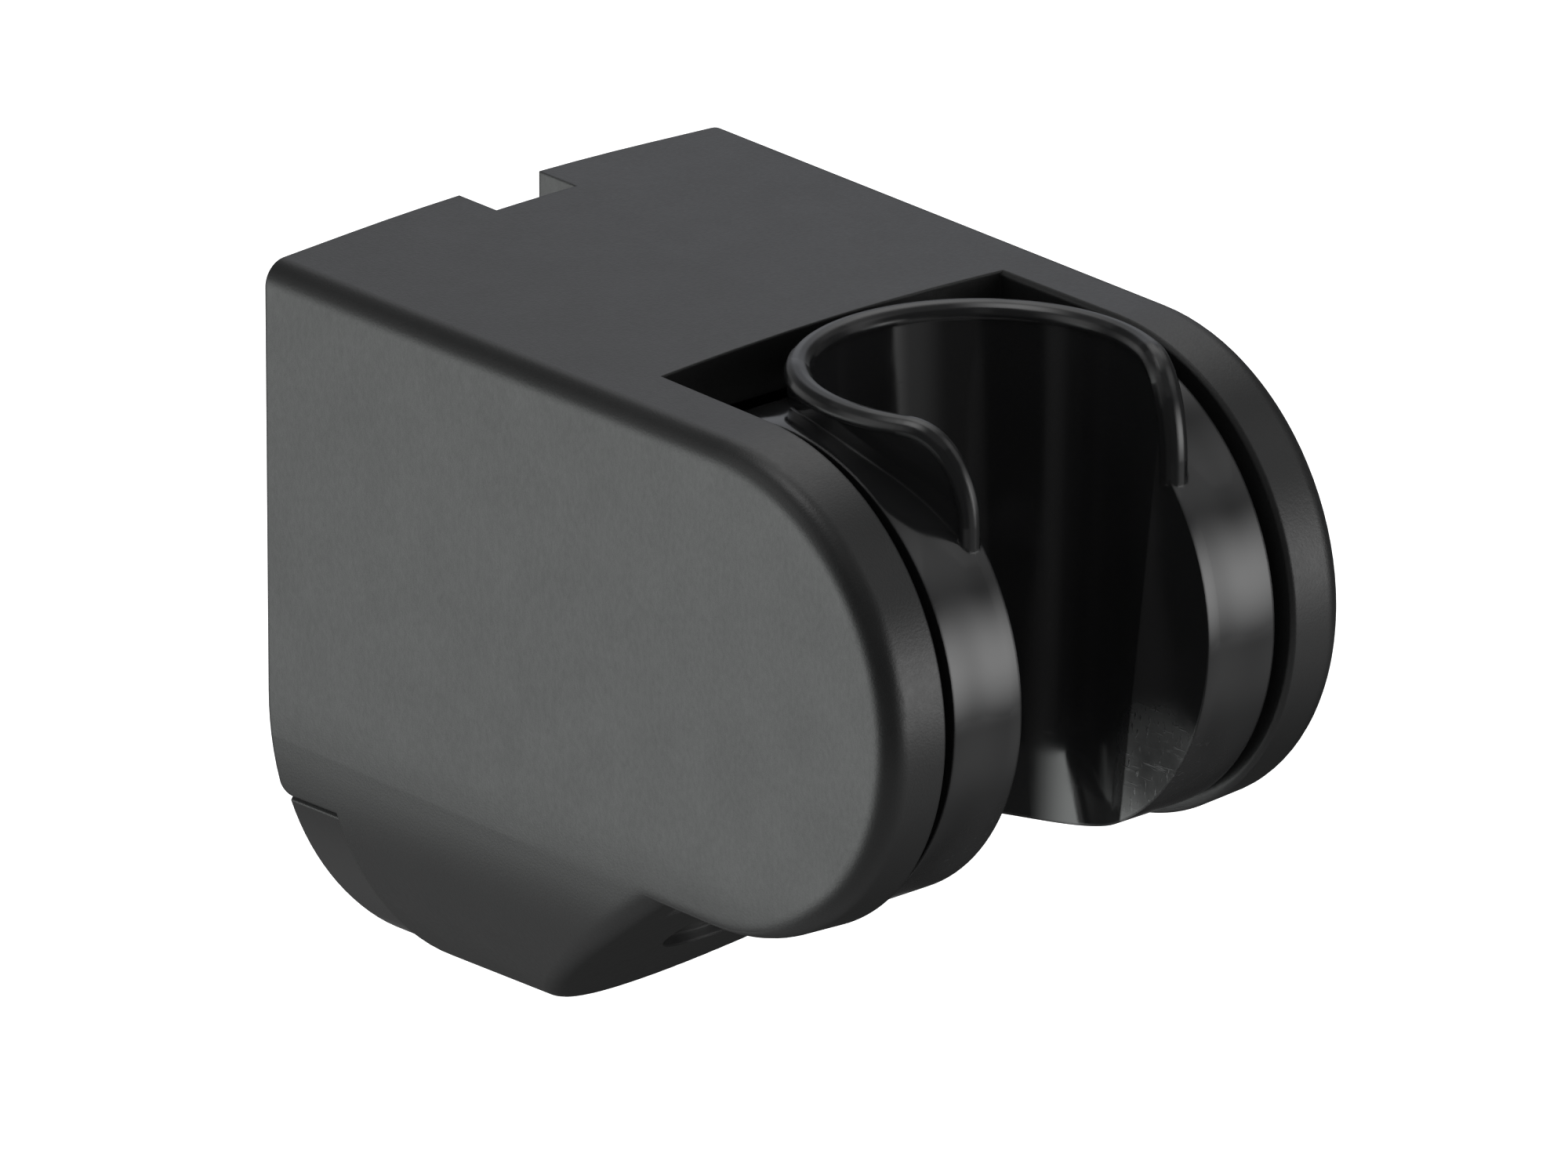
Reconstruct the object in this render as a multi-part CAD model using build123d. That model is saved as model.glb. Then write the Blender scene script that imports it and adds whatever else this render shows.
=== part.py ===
from build123d import *
import math
import os

# Hand shower holder: a fork-shaped housing on a wall plate, with a cradle that tilts between its two arms.
# Millimetres. The wall is the plane Y = 0 and the holder reaches out along -Y, with Z up and X across.
# A "reach" is a distance from the wall, so the point at reach r has Y = -r.

# Housing, outer form
width = 46.0               # across the two sides, at the wall
top_edge_z = 29.3          # upper side edges, at the wall
bottom_z = -29.3           # lowest line of the rounded underside
crown = 0.8                # rise of the top face in the middle
top_slope = 1.375          # degrees, the top falls towards the front
side_draft = 0.31          # degrees, each side leans in towards the front
side_curve_z = -4.0        # the flat sides end here and the rounded underside begins
side_arc_angle = 50.0      # degrees turned by each side arc of the underside; its lowest arc turns the rest
outer_edge_radius = 1.9
belly_angle = 35.8         # degrees, the slanted underside rises towards the front
belly_start_reach = 14.0   # where the slanted face leaves the lowest line

# Arms and the pocket between them
pivot_reach = 47.9
arm_radius = 18.85         # at the outer edges, where the crown is nil
pocket_start_reach = 36.3
arm_thickness = 6.18       # at the start of the pocket
pocket_draft = 0.86        # degrees, each pocket side opens towards the front
pocket_clearance = 1.0     # round the drum
pocket_edge_chamfer = 0.3

# Relief for the hose in the slanted face
relief_half_width = 8.6
relief_centre_reach = 29.5
relief_depth = 1.0

# Hollow behind the pocket, open to the wall
wall = 2.5
roof = 2.8

# Notch in the top, for lifting the housing off its plate
notch_width = 7.9
notch_depth = 4.1

# Wall plate
plate_thickness = 3.0
plate_clearance = 0.3
foot_top_z = -12.4         # lower edge of the housing's skirt beside the foot
foot_depth = 5.9           # of the cut-out in the skirt
foot_slit = 0.45           # between skirt and foot
foot_inset = 0.45          # of the foot behind the housing's outer face
foot_wall = 2.4
foot_chamfer = 0.35
skirt_corner_radius = 1.0
screw_spacing = 26.0
screw_hole_radius = 2.4
screw_head_radius = 4.6
screw_head_depth = 2.2     # of the countersink

# Sliding lock: ribs in the housing run behind the flanges of the plate's two rails
rail_bottom_z = -7.0
rail_height = 27.0
rail_web_x = 13.2          # inner face of each rail
rail_web = 2.4
rail_flange = 2.6          # how far a flange stands out past the web
rail_flange_thickness = 2.4
rib_thickness = 2.2
slide_clearance = 0.35

# Cradle: drum, cup and trunnions
drum_radius = 18.42
drum_side_gap = 0.78       # between the drum's ends and the pocket's sides, at the start of the pocket
cup_offset = 3.9           # cup axis in front of the pivot
cup_rim_radius = 12.25     # inside, at the rim
cup_mouth_radius = 10.35   # inside, at the underside of the drum
cup_wall = 1.6
rim_rise = 19.9            # top of the cup's wall above the pivot, under the bead
bead_overhang = 0.25       # of the bead past each face of the wall
bead_height = 0.8          # of its rounded top
bead_skirt = 0.35          # of its straight sides
bead_flats = 6             # narrow flats that make up its rounded top
lip_start_angle = 68.5     # degrees from the front, where the round wall turns into a straight lip
lip_length = 5.5           # at the rim
lip_mouth_length = 1.3     # at the underside of the drum
lip_corner_start = 0.6     # along the lip, where its rounded upper corner begins
lip_corner_radius = 3.9    # upper part of that corner; the lower part opens out to suit the lip
lip_corner_angle = 50.0    # degrees turned by the upper part
trunnion_radius = 5.0
trunnion_length = 2.8

# Friction rings and the bosses that carry them
boss_radius = 8.6
boss_gap = 0.66            # between a boss and the end of the drum
socket_clearance = 0.08
socket_end_gap = 0.3
ring_outer_radius = 8.0
ring_inner_clearance = 0.1
ring_running_gap = 0.06

# Worked out from the above
half_width = width / 2
pocket_half_width = half_width - pocket_start_reach * math.tan(math.radians(side_draft)) - arm_thickness
drum_half_length = pocket_half_width - drum_side_gap
boss_half_gap = drum_half_length + boss_gap
slope = math.radians(top_slope)
pivot_z = top_edge_z - pivot_reach * math.tan(slope) - arm_radius / math.cos(slope)
pivot = Vector(0, -pivot_reach, pivot_z)
crown_half = 0.9 * pocket_half_width  # the curve of the crown ends here, in a straight flank over each arm
crown_angle = math.atan(crown / (half_width - crown_half / 2))
crown_radius = crown_half / math.sin(crown_angle)
flank_height = arm_radius + (half_width - crown_half) * math.tan(crown_angle)
front_reach = pivot_reach + arm_radius + crown
cup_reach = pivot_reach + cup_offset
rim_z = pivot_z + rim_rise
mouth_z = pivot_z - drum_radius
lip_turn = math.radians(lip_start_angle)
pocket_radius = drum_radius + pocket_clearance
over = 2.0                 # overshoot of the cutting and limiting solids
tall = 3 * (top_edge_z - bottom_z)


def belly_z(reach, depth=0.0):
    """Height of the slanted face at a reach, or of a face parallel to it, deeper in the material."""
    rise = math.radians(belly_angle)
    return bottom_z + (reach - belly_start_reach) * math.tan(rise) + depth / math.cos(rise)


def side_prism(points, half_length):
    """Prism across X with a side-view outline given as (reach, z) points."""
    outline = Polyline(*[(-reach, z) for reach, z in points], close=True)
    return extrude(Plane.YZ * make_face(outline), half_length, both=True)


def cross_cylinder(radius, half_length):
    """Cylinder about the pivot axis."""
    return extrude(Plane(pivot, x_dir=(0, 1, 0), z_dir=(1, 0, 0)) * Circle(radius), half_length, both=True)


def u_prism(start, end, inset=0.0):
    """Upright block between two reaches: straight sides and a rounded underside of three tangent arcs."""
    half = half_width - inset
    low = side_curve_z - bottom_z - inset
    turn = math.radians(side_arc_angle)
    shift = (low - half) / (1 + math.tan(turn) - 1 / math.cos(turn))

    def side(sign, share):
        radius = half + shift
        return (sign * (radius * math.cos(share * turn) - shift),
                side_curve_z - radius * math.sin(share * turn))

    arcs = [ThreePointArc(side(sign, 0), side(sign, 0.5), side(sign, 1)) for sign in (1, -1)]
    lowest = ThreePointArc(side(1, 1), (0, side_curve_z - low), side(-1, 1))
    edges = Polyline(side(-1, 0), (-half, tall / 2), (half, tall / 2), side(1, 0))
    plane = Plane((0, -start, 0), x_dir=(1, 0, 0), z_dir=(0, -1, 0))
    return extrude(plane * make_face([*arcs, lowest, *edges.edges()]), end - start)


def sharp_edges(solid):
    """Edges where two faces meet at an angle, so not the seams of a smooth surface."""
    found = []
    for edge in solid.edges():
        middle = edge.position_at(0.5)
        normals = [face.normal_at(middle) for face in solid.faces()
                   if any(edge.is_same(other) for other in face.edges())]
        if len(normals) == 2 and normals[0].get_angle(normals[1]) > 3:
            found.append(edge)
    return ShapeList(found)


def arm_section(upper_only):
    """Right half of the section across the arms, square to the top face and about the pivot axis."""
    def height(x):
        centre = flank_height - crown_radius * math.cos(crown_angle)
        return centre + math.sqrt(crown_radius ** 2 - x ** 2)

    inner = -over
    curve = ThreePointArc((inner, height(inner)), (crown_half / 2, height(crown_half / 2)),
                          (crown_half, flank_height))
    flank = Line((crown_half, flank_height), (half_width, arm_radius))
    if upper_only:
        sides = Polyline((inner, height(inner)), (inner, 0), (half_width, 0), (half_width, arm_radius))
        face = make_face([curve, flank, *sides.edges()])
        return fillet(face.vertices().group_by(Axis.X)[-1].sort_by(Axis.Y)[-1], outer_edge_radius)
    left = Line((inner, height(inner)), (inner, -height(inner)))
    right = Line((half_width, arm_radius), (half_width, -arm_radius))
    lower = [mirror(edge, Plane.XZ).edge() for edge in (curve, flank)]
    face = make_face([curve, flank, left, right, *lower])
    return fillet(face.vertices().group_by(Axis.X)[-1], outer_edge_radius)


def slanted_body():
    """Lower part of the housing, with a slanted underside whose edges are rounded."""
    low_end = belly_start_reach - over
    body = side_prism([(-over, 0), (-over, belly_z(low_end)), (low_end, belly_z(low_end)),
                       (pivot_reach, belly_z(pivot_reach)), (pivot_reach, 0)], half_width + over)
    body &= u_prism(-over, front_reach)
    slanted = [edge for edge in sharp_edges(body)
               if abs(edge.position_at(0.5).Z - belly_z(-edge.position_at(0.5).Y)) < 0.01]
    outer = [edge for edge in slanted if edge.position_at(0.5).Z < belly_z(pivot_reach) - 0.01]
    return fillet(outer, outer_edge_radius)


def housing_form():
    """Outer form of the housing: each half is drawn square to its own side, then turned in by the draft."""
    square = Plane(pivot, x_dir=(1, 0, 0), z_dir=(0, -math.cos(slope), -math.sin(slope)))
    half = extrude(square * arm_section(False), -(pivot_reach + 2 * over))
    half += revolve(square * arm_section(True), Axis(pivot, (1, 0, 0)), 180)
    below = Pos(0, -front_reach / 2, side_curve_z - tall / 2) * Box(2 * width, 2 * front_reach, tall)
    half += slanted_body()
    half -= below - u_prism(-front_reach, 2 * front_reach)
    half = Pos(half_width, 0, 0) * Rot(0, 0, -side_draft) * Pos(-half_width, 0, 0) * half
    half &= Pos(half_width, -front_reach, 0) * Box(width, 2 * front_reach, tall)
    return half + mirror(half, Plane.YZ)


def pocket_half(reach):
    """Half the width between the arms, at a reach."""
    return pocket_half_width + math.tan(math.radians(pocket_draft)) * (reach - pocket_start_reach)


def pocket_space():
    """Space between the arms, with drafted sides."""
    back = pivot_reach - 2 * arm_radius
    front = front_reach + over
    corners = [(-pocket_half(back), -back), (-pocket_half(front), -front),
               (pocket_half(front), -front), (pocket_half(back), -back)]
    wedge = extrude(make_face(Polyline(*corners, close=True)), tall, both=True)
    ahead = side_prism([(pocket_start_reach, -tall), (front, -tall),
                        (front, tall), (pocket_start_reach, tall)], half_width)
    return wedge & (ahead + cross_cylinder(pocket_radius, half_width))


def rear_hollow():
    """Hollow behind the pocket, open to the wall."""
    end = pocket_start_reach - wall
    roof_z = top_edge_z - roof
    drop = math.tan(slope)
    low_end = belly_start_reach
    limit = side_prism([(-over, roof_z + over * drop), (end, roof_z - end * drop), (end, belly_z(end, wall)),
                        (low_end, belly_z(low_end, wall)), (low_end, bottom_z - over),
                        (-over, bottom_z - over)], half_width)
    space = u_prism(-over, end, wall) & limit
    return space - cross_cylinder(pocket_radius + wall, half_width)


def hose_relief():
    """Shallow round-ended recess in the slanted face."""
    rise = math.radians(belly_angle)
    face = Plane((0, -relief_centre_reach, belly_z(relief_centre_reach)), x_dir=(1, 0, 0),
                 z_dir=(0, math.sin(rise), math.cos(rise)))
    length = pivot_reach - relief_centre_reach
    outline = Circle(relief_half_width) + Pos(0, -length / 2) * Rectangle(2 * relief_half_width, length)
    return extrude(face * outline, relief_depth, both=True)


def build_housing():
    """The fork-shaped body with its pocket, hollow, notch, foot cut-out, locking ribs and sockets."""
    shell = housing_form() - pocket_space()
    ahead = [edge for edge in sharp_edges(shell) if edge.position_at(0.5).Y < -pocket_start_reach - over]
    rims = [edge for edge in ahead
            if abs(abs(edge.position_at(0.5).X) - pocket_half(-edge.position_at(0.5).Y)) < 0.1]
    shell = chamfer(rims, pocket_edge_chamfer)
    shell -= rear_hollow()
    shell -= hose_relief()
    shell -= Pos(0, 0, top_edge_z) * Box(notch_width, 2 * notch_depth, 4 * roof)
    shell -= side_prism([(-over, foot_top_z), (foot_depth, foot_top_z), (foot_depth, bottom_z - over),
                         (-over, bottom_z - over)], half_width + over)
    at_wall = [edge for edge in sharp_edges(shell) if abs(edge.position_at(0.5).Y) < 0.01]
    skirt_corners = [edge for edge in at_wall if abs(edge.position_at(0.5).Z - foot_top_z) < 0.01]
    shell = fillet(skirt_corners, skirt_corner_radius)

    rib_inner = rail_web_x + rail_web + slide_clearance
    rib_outer = half_width - wall / 2
    rib = Box(rib_outer - rib_inner, rib_thickness, rail_height)
    rib_x = (rib_inner + rib_outer) / 2
    rib_y = -plate_thickness - slide_clearance - rib_thickness / 2
    socket_depth = drum_half_length + trunnion_length + socket_end_gap - boss_half_gap
    for side in (-1, 1):
        shell += Pos(side * rib_x, rib_y, rail_bottom_z + rail_height / 2) * rib
        boss = Plane((side * boss_half_gap, pivot.Y, pivot.Z), x_dir=(0, 1, 0), z_dir=(side, 0, 0))
        shell += extrude(boss * Circle(boss_radius), socket_depth)
        shell -= extrude(boss * Circle(trunnion_radius + socket_clearance), socket_depth)
    return shell


def build_wall_plate():
    """Base with two screw holes, two flanged rails and the foot that closes the housing's cut-out."""
    plate = u_prism(0, plate_thickness, wall + plate_clearance)
    plate_top = top_edge_z - roof - plate_clearance
    plate &= Pos(0, 0, plate_top - tall / 2) * Box(width, width, tall)

    foot = u_prism(0, foot_depth - plate_clearance, foot_inset)
    foot &= Pos(0, 0, foot_top_z - foot_slit - tall / 2) * Box(width, width, tall)
    upper = foot.faces().sort_by(Axis.Z)[-1].edges()
    foot = chamfer([edge for edge in upper if edge.position_at(0.5).Y < -0.01], foot_chamfer)
    foot -= u_prism(plate_thickness, foot_depth, foot_inset + foot_wall)
    plate += foot

    flange_start = plate_thickness + 2 * slide_clearance + rib_thickness
    rail_end = flange_start + rail_flange_thickness
    web = Box(rail_web, rail_end, rail_height)
    flange = Box(rail_flange, rail_flange_thickness, rail_height)
    web_x = rail_web_x + rail_web / 2
    flange_x = rail_web_x + rail_web + rail_flange / 2
    middle_z = rail_bottom_z + rail_height / 2
    for side in (-1, 1):
        plate += Pos(side * web_x, -rail_end / 2, middle_z) * web
        plate += Pos(side * flange_x, -flange_start - rail_flange_thickness / 2, middle_z) * flange
        hole = Plane((0, 0, side * screw_spacing / 2), x_dir=(1, 0, 0), z_dir=(0, -1, 0))
        countersink = Cone(screw_hole_radius, screw_head_radius, screw_head_depth)
        plate -= extrude(hole * Circle(screw_hole_radius), plate_thickness)
        plate -= hole * Pos(0, 0, plate_thickness - screw_head_depth / 2) * countersink
    return plate


def cup_outline(radius, lip):
    """Plan of the cup's inside: a round back, straight lips closing in, and a slot to the front."""
    start = Vector(radius * math.sin(lip_turn), -cup_reach - radius * math.cos(lip_turn))
    lip_end = start - Vector(lip * math.cos(lip_turn), lip * math.sin(lip_turn))
    right = [start, lip_end, Vector(lip_end.X, -pivot_reach - 2 * drum_radius)]
    left = [Vector(-point.X, point.Y) for point in reversed(right)]
    back = ThreePointArc(left[-1], (0, radius - cup_reach), start)
    return make_face([back, *Polyline(*right, *left).edges()])


def cup_space():
    """Conical hollow of the cup with its front slot, through the drum."""
    beyond = over / (rim_z - mouth_z)
    widen = beyond * (cup_rim_radius - cup_mouth_radius)
    lengthen = beyond * (lip_length - lip_mouth_length)
    upper = cup_outline(cup_rim_radius + widen, lip_length + lengthen)
    lower = cup_outline(cup_mouth_radius - widen, lip_mouth_length - lengthen)
    return loft([Pos(0, 0, mouth_z - over) * lower, Pos(0, 0, rim_z + over) * upper], ruled=True)


def build_cradle():
    """Drum on two trunnions, with an upright horseshoe cup that has a beaded rim and lips."""
    drum = cross_cylinder(drum_radius, drum_half_length)
    drum += cross_cylinder(trunnion_radius, drum_half_length + trunnion_length)

    # Round back of the cup's wall, with stock inside for the conical hollow
    middle = cup_rim_radius + cup_wall / 2
    front_x = 4 * middle * math.sin(lip_turn)
    front_y = -4 * middle * math.cos(lip_turn)
    ring = Circle(middle + cup_wall / 2) - Circle(cup_mouth_radius)
    ring -= make_face(Polyline((0, 0), (front_x, front_y), (-front_x, front_y), close=True))
    cup = extrude(Pos(0, -cup_reach, pivot_z) * ring, rim_rise)

    # Straight lips, each in its own upright plane, with an upper corner of two arcs
    start = Vector(middle * math.sin(lip_turn), -cup_reach - middle * math.cos(lip_turn), rim_z)
    along = Vector(-math.cos(lip_turn), -math.sin(lip_turn), 0)
    lip_plane = Plane(start, x_dir=along, z_dir=along.cross(Vector(0, 0, 1)))
    bend = math.radians(lip_corner_angle)
    corner_run = lip_length - lip_corner_start
    lower_radius = (corner_run - lip_corner_radius * math.sin(bend)) / (1 - math.sin(bend))
    corner_drop = lip_corner_radius * (1 - math.cos(bend)) + lower_radius * math.cos(bend)
    lower = CenterArc((lip_length - lower_radius, -corner_drop), lower_radius, 0, 90 - lip_corner_angle)
    upper = CenterArc((lip_corner_start, -lip_corner_radius), lip_corner_radius,
                      90 - lip_corner_angle, lip_corner_angle)
    edges = Polyline((lip_corner_start, 0), (0, 0), (0, -rim_rise), (lip_length, -rim_rise),
                     (lip_length, -corner_drop))
    lip_face = lip_plane * make_face([*edges.edges(), lower, upper])
    lip = extrude(lip_face, -cup_wall / 2) + extrude(lip_face, middle - cup_mouth_radius)
    cup += lip + mirror(lip, Plane.YZ)
    cup &= Pos(0, -cup_reach, pivot_z) * Box(2 * drum_half_length, 4 * drum_radius, tall)

    # Rounded bead along the wall's top and down the front of the lips, ending just inside the drum
    tip_reach = -(start + along * lip_length).Y - pivot_reach
    tip_drop = rim_rise - math.sqrt(drum_radius ** 2 - tip_reach ** 2) + bead_height
    down = Line((lip_length, -tip_drop), (lip_length, -corner_drop))
    top = Line((lip_corner_start, 0), (0, 0))
    right = [(lip_plane * edge).edge() for edge in (down, lower, upper, top)]
    left = [mirror(edge, Plane.YZ).edge() for edge in right]
    back = ThreePointArc(start, (0, middle - cup_reach, rim_z), (-start.X, start.Y, rim_z))
    path = Wire([*right, back.edge(), *left])
    half = cup_wall / 2 + bead_overhang
    crest_turn = 2 * math.atan(bead_height / half)
    crest_radius = half / math.sin(crest_turn)
    turns = [crest_turn * (1 - 2 * flat / bead_flats) for flat in range(bead_flats + 1)]
    crest = [(bead_height - crest_radius * (1 - math.cos(turn)), crest_radius * math.sin(turn))
             for turn in turns]
    section = Polyline(*crest, (-bead_skirt, -half), (-bead_skirt, half), close=True)
    foot = Plane(path.position_at(0), x_dir=along, z_dir=(0, 0, 1))
    bead = sweep(foot * make_face(section), path=path)
    return drum + cup - cup_space() + bead


def build_friction_ring(side):
    """Flat ring round a trunnion, seated on the boss of one arm."""
    thickness = boss_gap - ring_running_gap
    seat = Plane((side * boss_half_gap, pivot.Y, pivot.Z), x_dir=(0, 1, 0), z_dir=(-side, 0, 0))
    outline = Circle(ring_outer_radius) - Circle(trunnion_radius + ring_inner_clearance)
    return extrude(seat * outline, thickness)


nodes = {
    "housing": build_housing(),
    "wall_plate": build_wall_plate(),
    "cradle": build_cradle(),
    "friction_ring_left": build_friction_ring(-1),
    "friction_ring_right": build_friction_ring(1),
}
os.makedirs("parts", exist_ok=True)
for name, shape in nodes.items():
    export_step(shape, f"parts/{name}.step")
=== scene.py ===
import math

import bpy
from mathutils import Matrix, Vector

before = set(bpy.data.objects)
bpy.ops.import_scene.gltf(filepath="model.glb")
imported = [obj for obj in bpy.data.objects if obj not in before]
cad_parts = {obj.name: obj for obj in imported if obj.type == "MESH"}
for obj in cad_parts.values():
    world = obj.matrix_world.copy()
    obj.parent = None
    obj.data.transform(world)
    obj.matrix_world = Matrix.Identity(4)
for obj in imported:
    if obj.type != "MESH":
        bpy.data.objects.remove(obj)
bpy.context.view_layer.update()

scene = bpy.context.scene

# Lengths are in metres, and the scale of a noise is its number of cells in a metre.
noise_low, noise_high = 0.3, 0.7    # nearly all values of a noise lie between these
sharp_edge = 0.0003                 # rounding of sharp moulded edges, in the shading alone
arm_edge = 0.0014                   # the same for the lower edges of the arms
plate_edge = 0.0002                 # and for the wall plate


def link(tree, value, socket):
    """Set a socket to a number, or link it to the output of another node."""
    if isinstance(value, (int, float)):
        socket.default_value = value
    else:
        tree.links.new(value, socket)


def new_material(name):
    material = bpy.data.materials.new(name)
    material.use_nodes = True
    tree = material.node_tree
    tree.nodes.clear()
    output = tree.nodes.new("ShaderNodeOutputMaterial")
    shader = tree.nodes.new("ShaderNodeBsdfPrincipled")
    tree.links.new(shader.outputs["BSDF"], output.inputs["Surface"])
    return material, tree, shader


def object_place(tree):
    """The point that is shaded, in the object's own frame."""
    return tree.nodes.new("ShaderNodeTexCoord").outputs["Object"]


def object_axes(tree):
    """X, Y and Z of that point."""
    split = tree.nodes.new("ShaderNodeSeparateXYZ")
    tree.links.new(object_place(tree), split.inputs[0])
    return split.outputs["X"], split.outputs["Y"], split.outputs["Z"]


def noise(tree, scale, detail=2.0, roughness=0.5, stretch=(1, 1, 1)):
    mapping = tree.nodes.new("ShaderNodeMapping")
    mapping.inputs["Scale"].default_value = stretch
    texture = tree.nodes.new("ShaderNodeTexNoise")
    texture.inputs["Scale"].default_value = scale
    texture.inputs["Detail"].default_value = detail
    texture.inputs["Roughness"].default_value = roughness
    tree.links.new(object_place(tree), mapping.inputs["Vector"])
    tree.links.new(mapping.outputs["Vector"], texture.inputs["Vector"])
    return texture.outputs["Fac"]


def spread(tree, value, low, high, start=noise_low, end=noise_high, smooth=False):
    """Low up to start, high from end on, and a change between them."""
    change = tree.nodes.new("ShaderNodeMapRange")
    if smooth:
        change.interpolation_type = "SMOOTHSTEP"
    change.inputs["From Min"].default_value = start
    change.inputs["From Max"].default_value = end
    change.inputs["To Min"].default_value = low
    change.inputs["To Max"].default_value = high
    tree.links.new(value, change.inputs["Value"])
    return change.outputs["Result"]


def ramp(tree, value, stops):
    node = tree.nodes.new("ShaderNodeValToRGB")
    elements = node.color_ramp.elements
    while len(elements) < len(stops):
        elements.new(0.5)
    for element, (place, colour) in zip(elements, stops):
        element.position = place
        element.color = (*colour, 1)
    tree.links.new(value, node.inputs["Fac"])
    return node.outputs["Color"]


def bump(tree, height, distance, strength=1.0, below=None):
    """Normals of a relief, on top of the normals below."""
    node = tree.nodes.new("ShaderNodeBump")
    node.inputs["Distance"].default_value = distance
    node.inputs["Strength"].default_value = strength
    tree.links.new(height, node.inputs["Height"])
    if below is not None:
        tree.links.new(below, node.inputs["Normal"])
    return node.outputs["Normal"]


def rounded(tree, radius):
    """Normals that soften the sharp edges of a moulding."""
    node = tree.nodes.new("ShaderNodeBevel")
    node.samples = 4
    link(tree, radius, node.inputs["Radius"])
    return node.outputs["Normal"]


def math_node(tree, operation, *values):
    node = tree.nodes.new("ShaderNodeMath")
    node.operation = operation
    for value, socket in zip(values, node.inputs):
        link(tree, value, socket)
    return node.outputs[0]


def around(tree, point, inner, outer, near_value, far_value, mirrored=False):
    """One value near a point and another far from it, with a soft change between.

    Mirrored, it is the same on both sides of X = 0.
    """
    x, y, z = object_axes(tree)
    if mirrored:
        x = math_node(tree, "ABSOLUTE", x)
    place = tree.nodes.new("ShaderNodeCombineXYZ")
    for value, socket in zip((x, y, z), place.inputs):
        tree.links.new(value, socket)
    distance = tree.nodes.new("ShaderNodeVectorMath")
    distance.operation = "DISTANCE"
    distance.inputs[1].default_value = point
    tree.links.new(place.outputs[0], distance.inputs[0])
    return spread(tree, distance.outputs["Value"], near_value, far_value, start=inner, end=outer, smooth=True)


def arm_edges(tree):
    """1 along the lower edges of the arms, 0 elsewhere on the housing."""
    _, y, z = object_axes(tree)
    low = spread(tree, z, 1.0, 0.0, start=-0.0065, end=-0.0035)
    ahead = spread(tree, y, 1.0, 0.0, start=-0.031, end=-0.027)
    return math_node(tree, "MULTIPLY", low, ahead)


def drum_waves(tree):
    """Height of the shallow sink waves that a moulded drum has beside its slot."""
    wave_length = 0.0062
    wave_start = 0.0107     # from the middle of the drum
    x, _, _ = object_axes(tree)
    across = math_node(tree, "ABSOLUTE", x)
    from_start = math_node(tree, "SUBTRACT", wave_start, across)
    wave = math_node(tree, "SINE", math_node(tree, "MULTIPLY", from_start, 2 * math.pi / wave_length))
    beside_slot = spread(tree, across, 0.0, 1.0, start=0.0094, end=0.0104)
    return math_node(tree, "MULTIPLY", wave, beside_slot)


def housing_material():
    material, tree, shader = new_material("satin_black_plastic")
    dark, pale = (0.0082, 0.0085, 0.0086), (0.0102, 0.0105, 0.0106)
    tint = ramp(tree, noise(tree, scale=90, detail=3), [(noise_low, dark), (noise_high, pale)])
    tree.links.new(tint, shader.inputs["Base Color"])
    clouds = spread(tree, noise(tree, scale=240, detail=4), low=0.335, high=0.37)
    satin = spread(tree, noise(tree, scale=2600, detail=3, roughness=0.6, stretch=(1, 1, 0.6)),
                   low=-0.03, high=0.03)
    tree.links.new(math_node(tree, "ADD", clouds, satin), shader.inputs["Roughness"])
    shader.inputs["IOR"].default_value = 1.5
    softness = spread(tree, arm_edges(tree), low=sharp_edge, high=arm_edge, start=0.0, end=1.0)
    waves = bump(tree, noise(tree, scale=90, detail=1), distance=0.00003, strength=0.15,
                 below=rounded(tree, softness))
    grain = bump(tree, noise(tree, scale=5200), distance=0.000012, below=waves)
    tree.links.new(grain, shader.inputs["Normal"])
    return material


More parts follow.
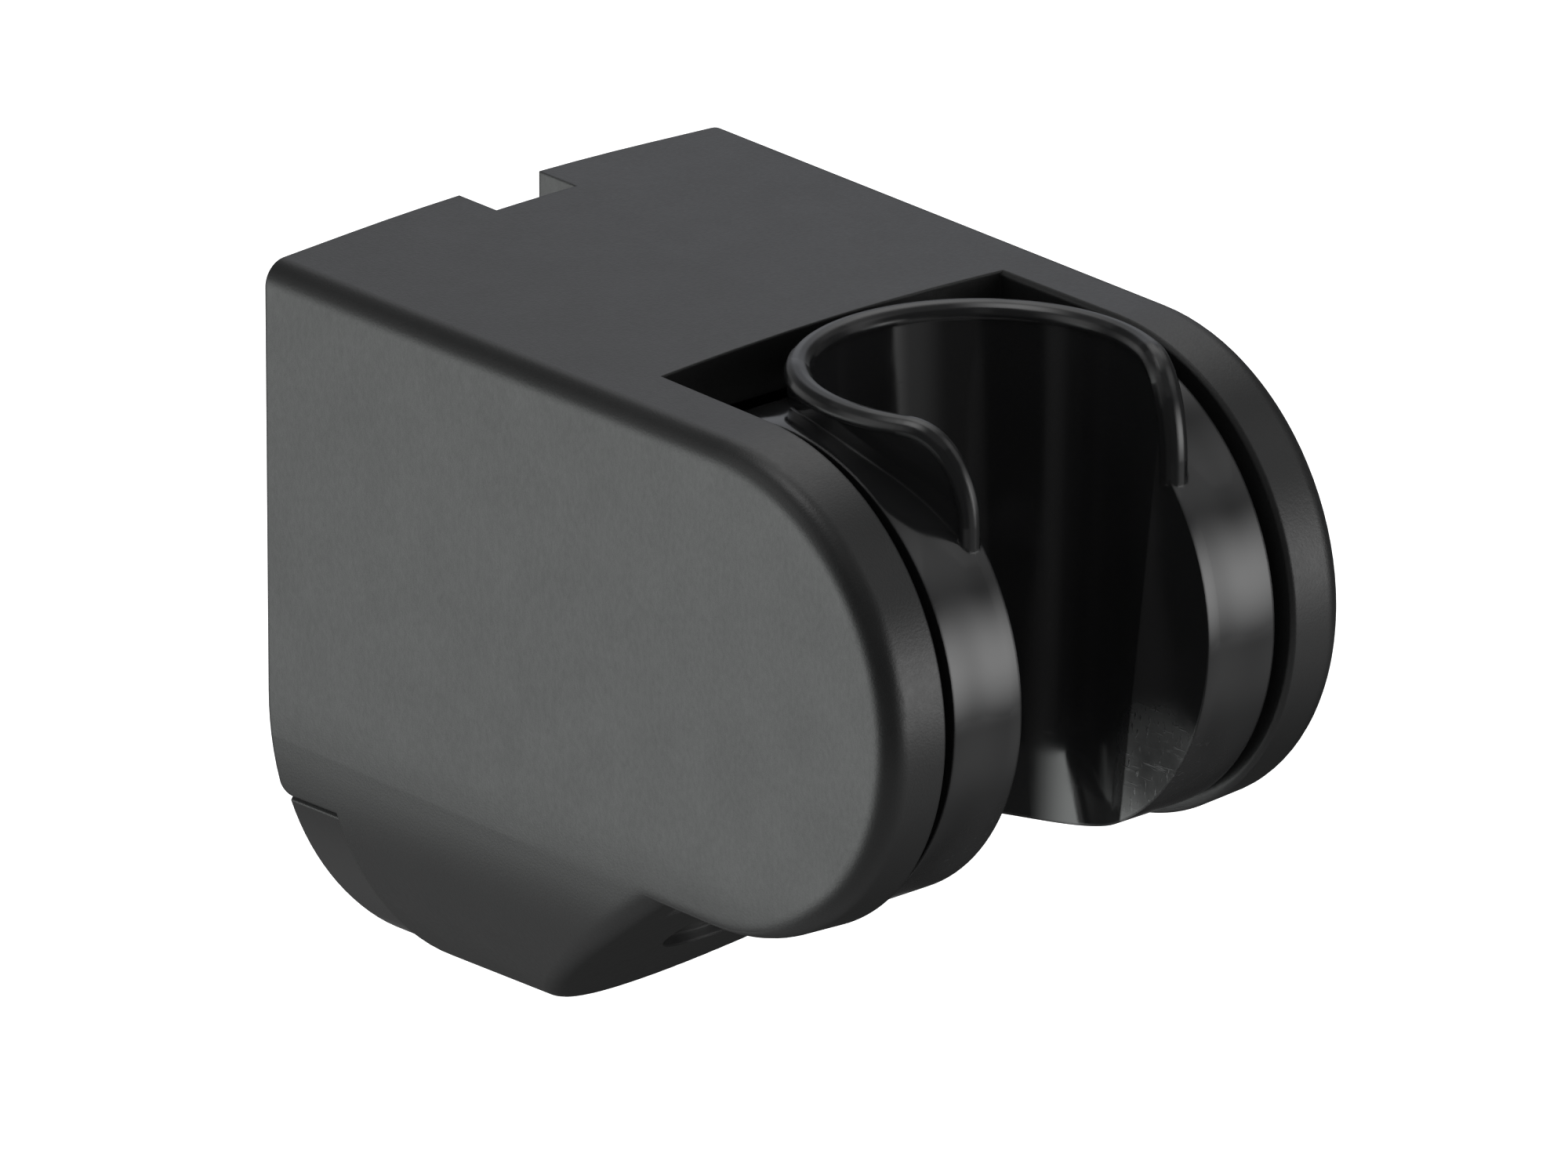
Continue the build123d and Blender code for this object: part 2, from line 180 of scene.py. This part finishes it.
def cradle_material():
    material, tree, shader = new_material("gloss_black_plastic")
    # Where hoses and handset cones rub: the inside of the two lips, low down
    lip_inside = (0.0095, -0.0612, -0.0015)
    worn = around(tree, lip_inside, inner=0.001, outer=0.0078, near_value=1.0, far_value=0.0, mirrored=True)
    streaks = spread(tree, noise(tree, scale=900, detail=3, roughness=0.6, stretch=(1, 0.35, 3)),
                     low=0.0, high=1.0, start=0.6, end=0.72)
    nicks = spread(tree, noise(tree, scale=2200, stretch=(1, 1.6, 0.5)),
                   low=0.0, high=1.0, start=0.62, end=0.7)
    marks = math_node(tree, "MULTIPLY", worn, math_node(tree, "MAXIMUM", streaks, nicks))

    black, dark, scuffed = (0.007, 0.0072, 0.0075), (0.0095, 0.0097, 0.01), (0.026, 0.026, 0.027)
    scuffs = math_node(tree, "MULTIPLY", marks, 0.5)
    shade = math_node(tree, "ADD", noise(tree, scale=60, detail=3), scuffs)
    tint = ramp(tree, shade, [(noise_low, black), (noise_high, dark), (1.0, scuffed)])
    tree.links.new(tint, shader.inputs["Base Color"])

    polish = spread(tree, noise(tree, scale=320, detail=4), low=0.07, high=0.14)
    hairlines = spread(tree, noise(tree, scale=260, stretch=(0.3, 1, 9)),
                       low=0.0, high=0.05, start=0.68, end=0.74)
    matt = spread(tree, noise(tree, scale=700, detail=4), low=0.38, high=0.52)
    rubbed = math_node(tree, "MULTIPLY", worn, matt)
    burnished = math_node(tree, "MULTIPLY", marks, 0.3)
    roughness = math_node(tree, "ADD", math_node(tree, "ADD", polish, hairlines), rubbed)
    roughness = math_node(tree, "SUBTRACT", roughness, burnished)
    tree.links.new(roughness, shader.inputs["Roughness"])
    shader.inputs["IOR"].default_value = 1.52

    waves = bump(tree, drum_waves(tree), distance=0.00005, below=rounded(tree, sharp_edge))
    flow = bump(tree, noise(tree, scale=120), distance=0.00003, strength=0.2, below=waves)
    tree.links.new(bump(tree, marks, distance=0.00002, strength=0.6, below=flow), shader.inputs["Normal"])
    return material


def plate_material():
    material, tree, shader = new_material("smooth_black_plastic")
    dark, pale = (0.0095, 0.0098, 0.01), (0.012, 0.0122, 0.0124)
    tint = ramp(tree, noise(tree, scale=70, detail=3), [(noise_low, dark), (noise_high, pale)])
    tree.links.new(tint, shader.inputs["Base Color"])
    polish = spread(tree, noise(tree, scale=300, detail=4), low=0.14, high=0.2)
    tree.links.new(polish, shader.inputs["Roughness"])
    shader.inputs["IOR"].default_value = 1.5
    grain = bump(tree, noise(tree, scale=900), distance=0.00001, strength=0.5,
                 below=rounded(tree, plate_edge))
    tree.links.new(grain, shader.inputs["Normal"])
    return material


def ring_material():
    material, tree, shader = new_material("black_rubber")
    dark, pale = (0.014, 0.014, 0.014), (0.022, 0.022, 0.022)
    tint = ramp(tree, noise(tree, scale=400, detail=3), [(noise_low, dark), (noise_high, pale)])
    tree.links.new(tint, shader.inputs["Base Color"])
    matt = spread(tree, noise(tree, scale=900, detail=3), low=0.6, high=0.75)
    tree.links.new(matt, shader.inputs["Roughness"])
    grain = bump(tree, noise(tree, scale=3000), distance=0.00002, strength=0.6)
    tree.links.new(grain, shader.inputs["Normal"])
    return material


def dress(node, material):
    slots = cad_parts[node].data.materials
    slots.clear()
    slots.append(material)


dress("housing", housing_material())
dress("cradle", cradle_material())
dress("wall_plate", plate_material())
rubber = ring_material()
dress("friction_ring_left", rubber)
dress("friction_ring_right", rubber)


def square(half, z):
    """Corners of a level square about the Z axis, from the front left one on."""
    return [(-half, -half, z), (half, -half, z), (half, half, z), (-half, half, z)]


def stage_mesh(name, points, faces):
    mesh = bpy.data.meshes.new(name)
    mesh.from_pydata(points, [], faces)
    piece = bpy.data.objects.new(name, mesh)
    scene.collection.objects.link(piece)
    return piece


def seen_directly(tree):
    """1 for rays from the camera, from a gloss or through glass, 0 for the rays that carry light."""
    path = tree.nodes.new("ShaderNodeLightPath")
    camera_or_gloss = math_node(tree, "MAXIMUM", path.outputs["Is Camera Ray"], path.outputs["Is Glossy Ray"])
    return math_node(tree, "MAXIMUM", camera_or_gloss, path.outputs["Is Transmission Ray"])


def floor_material():
    """Pale where light falls on it, and white where it is seen."""
    material = bpy.data.materials.new("pale_floor")
    material.use_nodes = True
    tree = material.node_tree
    tree.nodes.clear()
    output = tree.nodes.new("ShaderNodeOutputMaterial")
    diffuse = tree.nodes.new("ShaderNodeBsdfDiffuse")
    diffuse.inputs["Color"].default_value = (0.8, 0.8, 0.8, 1)
    glow = tree.nodes.new("ShaderNodeEmission")
    both = tree.nodes.new("ShaderNodeAddShader")
    tree.links.new(seen_directly(tree), glow.inputs["Strength"])
    tree.links.new(diffuse.outputs[0], both.inputs[0])
    tree.links.new(glow.outputs[0], both.inputs[1])
    tree.links.new(both.outputs[0], output.inputs["Surface"])
    return material


def wall_material(name, glow):
    """Matt and nearly black, with a faint glow of its own."""
    material, _, shader = new_material(name)
    shader.inputs["Base Color"].default_value = (0.04, 0.04, 0.04, 1)
    shader.inputs["Roughness"].default_value = 0.9
    shader.inputs["Specular IOR Level"].default_value = 0.0
    shader.inputs["Emission Color"].default_value = (1, 1, 1, 1)
    shader.inputs["Emission Strength"].default_value = glow
    return material


def base_material(z):
    """The same for the base of the room, whose glow dies away at one place on the right, behind the part."""
    material = wall_material("dark_base", glow=0.0)
    tree = material.node_tree
    dark_place = (1.5, 0.7, z)
    glow = around(tree, dark_place, inner=0.5, outer=1.9, near_value=0.01, far_value=0.27)
    tree.links.new(glow, tree.nodes["Principled BSDF"].inputs["Emission Strength"])
    return material


# Studio: a pale floor, a room of dark walls that only reflections see, and a white surround
floor_z = -1.2
floor_half = 12.0
floor = stage_mesh("floor", square(floor_half, floor_z), [(0, 1, 2, 3)])
floor.data.materials.append(floor_material())

room_half = 2.6
room_low, room_top = floor_z + 0.01, 2.4
walls = [(0, 1, 5, 4), (1, 2, 6, 5), (2, 3, 7, 6), (3, 0, 4, 7)]
ceiling, base = (4, 5, 6, 7), (0, 3, 2, 1)
room_corners = square(room_half, room_low) + square(room_half, room_top)
room = stage_mesh("dark_walls", room_corners, [*walls, ceiling, base])
room.data.materials.append(wall_material("dark_wall", glow=0.05))
room.data.materials.append(wall_material("dark_ceiling", glow=0.2))
room.data.materials.append(base_material(room_low))
room.data.polygons[len(walls)].material_index = 1
room.data.polygons[len(walls) + 1].material_index = 2
room.visible_camera = False
room.visible_shadow = False
room.visible_diffuse = False

world = bpy.data.worlds.new("white_surround")
scene.world = world
world.use_nodes = True
background = world.node_tree.nodes["Background"]
background.inputs["Color"].default_value = (1, 1, 1, 1)
fill_light, seen_white = 0.55, 1.0
world.node_tree.links.new(
    spread(world.node_tree, seen_directly(world.node_tree), fill_light, seen_white, start=0.0, end=1.0),
    background.inputs["Strength"])


def fade(tree, value):
    """1 in the middle of a softbox and 0 at its edges, for one of its two directions."""
    centred = math_node(tree, "MULTIPLY_ADD", value, 2.0, -1.0)
    dome = math_node(tree, "SUBTRACT", 1.0, math_node(tree, "MULTIPLY", centred, centred))
    return math_node(tree, "MULTIPLY", dome, dome)


def softbox(name, direction, distance, size, radiance, colour=(1, 1, 1)):
    """Soft-edged area lamp that faces the part from a direction."""
    lamp = bpy.data.lights.new(name, "AREA")
    lamp.shape = "RECTANGLE"
    lamp.size, lamp.size_y = size
    lamp.energy = radiance * math.pi * size[0] * size[1]
    lamp.color = colour
    lamp.use_nodes = True
    tree = lamp.node_tree
    geometry = tree.nodes.new("ShaderNodeNewGeometry")
    split = tree.nodes.new("ShaderNodeSeparateXYZ")
    tree.links.new(geometry.outputs["Parametric"], split.inputs[0])
    level = math_node(tree, "MULTIPLY", fade(tree, split.outputs[0]), fade(tree, split.outputs[1]))
    tree.links.new(level, tree.nodes["Emission"].inputs["Strength"])
    holder = bpy.data.objects.new(name, lamp)
    scene.collection.objects.link(holder)
    aim = Vector(direction).normalized()
    holder.location = part_middle + distance * aim
    holder.rotation_euler = aim.to_track_quat("Z", "Y").to_euler()
    holder.visible_camera = False


part_middle = Vector((0, -0.035, 0))
cool = (0.95, 0.98, 1.06)
greenish = (0.975, 1.01, 0.995)
softbox("softbox_left", (-0.80, 0.52, -0.26), distance=0.9, size=(1.3, 1.2), radiance=3.0, colour=greenish)
softbox("softbox_right", (0.54, -0.84, 0.04), distance=0.9, size=(1.0, 0.85), radiance=3.7)
softbox("softbox_top", (0.50, 0.31, 0.81), distance=1.0, size=(1.2, 1.2), radiance=1.3)
softbox("softbox_high_right", (0.64, -0.48, 0.60), distance=1.0, size=(1.0, 0.9), radiance=0.6)
softbox("softbox_rear_right", (0.60, 0.72, 0.33), distance=1.0, size=(1.2, 1.0), radiance=0.43, colour=cool)
softbox("softbox_low_right", (0.64, -0.64, -0.43), distance=0.9, size=(0.9, 0.8), radiance=0.22)
softbox("softbox_rear", (-0.27, 0.96, 0.0), distance=1.0, size=(1.7, 1.1), radiance=0.5)
softbox("softbox_high_left", (-0.80, 0.34, 0.50), distance=1.0, size=(1.2, 1.0), radiance=0.8)
softbox("softbox_overhead", (-0.16, 0.10, 0.98), distance=1.0, size=(0.8, 0.8), radiance=2.5)
softbox("softbox_front", (0.05, -0.97, -0.22), distance=1.0, size=(0.9, 1.0), radiance=0.3)

# Camera at the photograph's viewing angle, from the front left and above
azimuth = math.radians(42.57)
elevation = math.radians(20.37)
camera_distance = 1.7244
aside, raised = -0.002694, 0.003740     # shift of the camera that frames the part as the photograph does
camera_aim = part_middle + Vector((0, 0, 0.0043))
right = Vector((math.cos(azimuth), -math.sin(azimuth), 0))
back = Vector((-math.sin(azimuth) * math.cos(elevation), -math.cos(azimuth) * math.cos(elevation),
               math.sin(elevation)))
up = back.cross(right)
camera_data = bpy.data.cameras.new("camera")
camera_data.sensor_width = 36.0
camera_data.lens = 542.1
camera_data.clip_end = 20.0
camera = bpy.data.objects.new("camera", camera_data)
scene.collection.objects.link(camera)
camera.location = camera_aim + camera_distance * back + aside * right + raised * up
camera.rotation_euler = back.to_track_quat("Z", "Y").to_euler()
scene.camera = camera
scene.view_settings.view_transform = "Standard"
